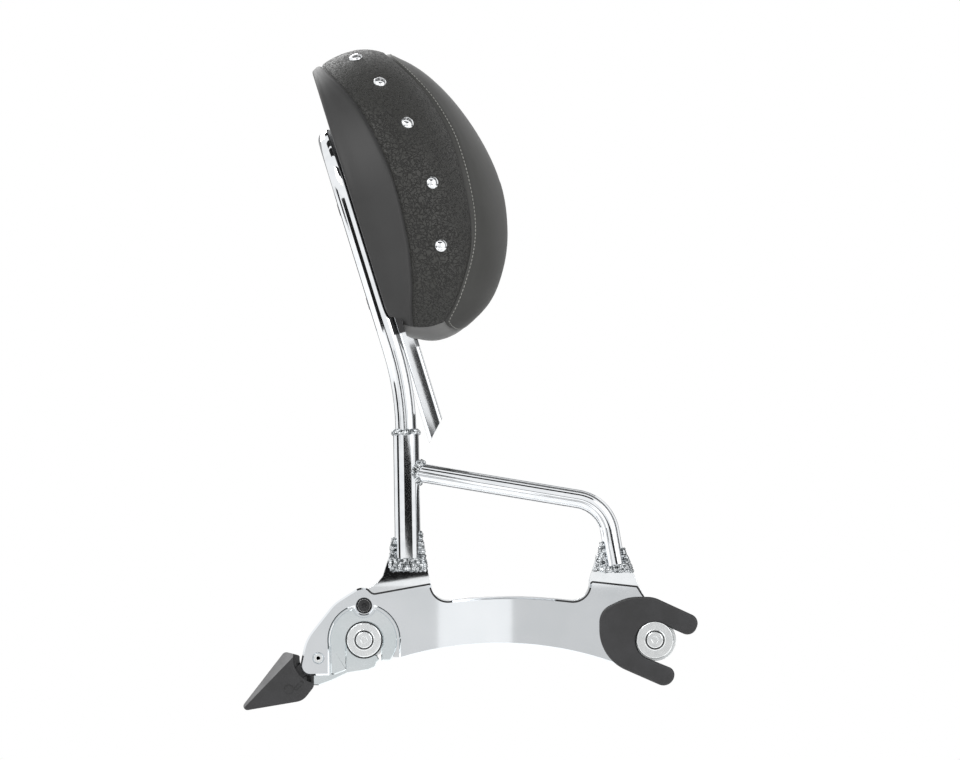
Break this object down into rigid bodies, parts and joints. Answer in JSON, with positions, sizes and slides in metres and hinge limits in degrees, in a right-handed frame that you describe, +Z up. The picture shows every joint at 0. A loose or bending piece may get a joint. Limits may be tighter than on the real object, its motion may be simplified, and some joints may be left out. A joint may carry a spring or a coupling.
{
  "type": "sissy bar",
  "caption": "Detachable motorbike backrest bar: chromed bent hoop on braced side plates with quick-release hooks and levers, carrying a deep studded pad.",
  "frame": {"origin": "on the centre plane, on the axis of the rear docking rollers", "axes": "+X forward along the bike, +Y to the bike's left, +Z up"},
  "size_m": [0.4566, 0.2866, 0.6633],
  "materials": {
    "chromed_tube": "mirror chrome plating",
    "chromed_plate": "mirror chrome plating",
    "satin_plate": "satin chrome plating",
    "dark_coated_metal": "dark satin powder coat",
    "plated_steel": "bright zinc plating",
    "bright_fastener": "turned and chrome plated",
    "black_oxide_steel": "black oxide",
    "moulded_board": "fine moulded texture",
    "pad_cover": "smooth and coarse-grained black cover",
    "chromed_stud": "mirror chrome plating"
  },
  "bodies": {
    "frame": {"hoop": "chromed_tube", "upper_cross_tube": "chromed_tube", "lower_cross_tube": "chromed_tube", "pad_rail": "chromed_tube", "right_stanchion": "chromed_tube", "left_stanchion": "chromed_tube", "right_brace": "chromed_tube", "left_brace": "chromed_tube", "right_inner_plate": "chromed_plate", "left_inner_plate": "chromed_plate", "right_side_plate": "satin_plate", "left_side_plate": "satin_plate", "right_fork": "dark_coated_metal", "left_fork": "dark_coated_metal", "right_latch_hook": "plated_steel", "left_latch_hook": "plated_steel", "right_lever_screw": "bright_fastener", "left_lever_screw": "bright_fastener", "right_lever_nut": "bright_fastener", "left_lever_nut": "bright_fastener", "right_hook_pin": "black_oxide_steel", "left_hook_pin": "black_oxide_steel", "right_plate_screws": "black_oxide_steel", "left_plate_screws": "black_oxide_steel", "right_rear_roller": "bright_fastener", "left_rear_roller": "bright_fastener", "right_rear_washer": "bright_fastener", "left_rear_washer": "bright_fastener", "right_rear_bolt": "bright_fastener", "left_rear_bolt": "bright_fastener", "right_front_roller": "bright_fastener", "left_front_roller": "bright_fastener", "right_front_washer": "bright_fastener", "left_front_washer": "bright_fastener", "right_front_bolt": "bright_fastener", "left_front_bolt": "bright_fastener", "pad_board": "moulded_board", "pad_cushion": "pad_cover", "pad_studs": "chromed_stud", "pad_bolts": "black_oxide_steel"},
    "right_latch": {"right_latch_arm": "plated_steel", "right_lever": "dark_coated_metal"},
    "left_latch": {"left_latch_arm": "plated_steel", "left_lever": "dark_coated_metal"}
  },
  "joints": [
    {"name": "right_latch_hinge", "type": "hinge", "parent": "frame", "child": "right_latch", "pos_m": [-0.0457, -0.115, -0.0182], "axis": [0, 1, 0], "range_deg": [0, 60]},
    {"name": "left_latch_hinge", "type": "hinge", "parent": "frame", "child": "left_latch", "pos_m": [-0.0457, 0.115, -0.0182], "axis": [0, 1, 0], "range_deg": [0, 60]}
  ]
}
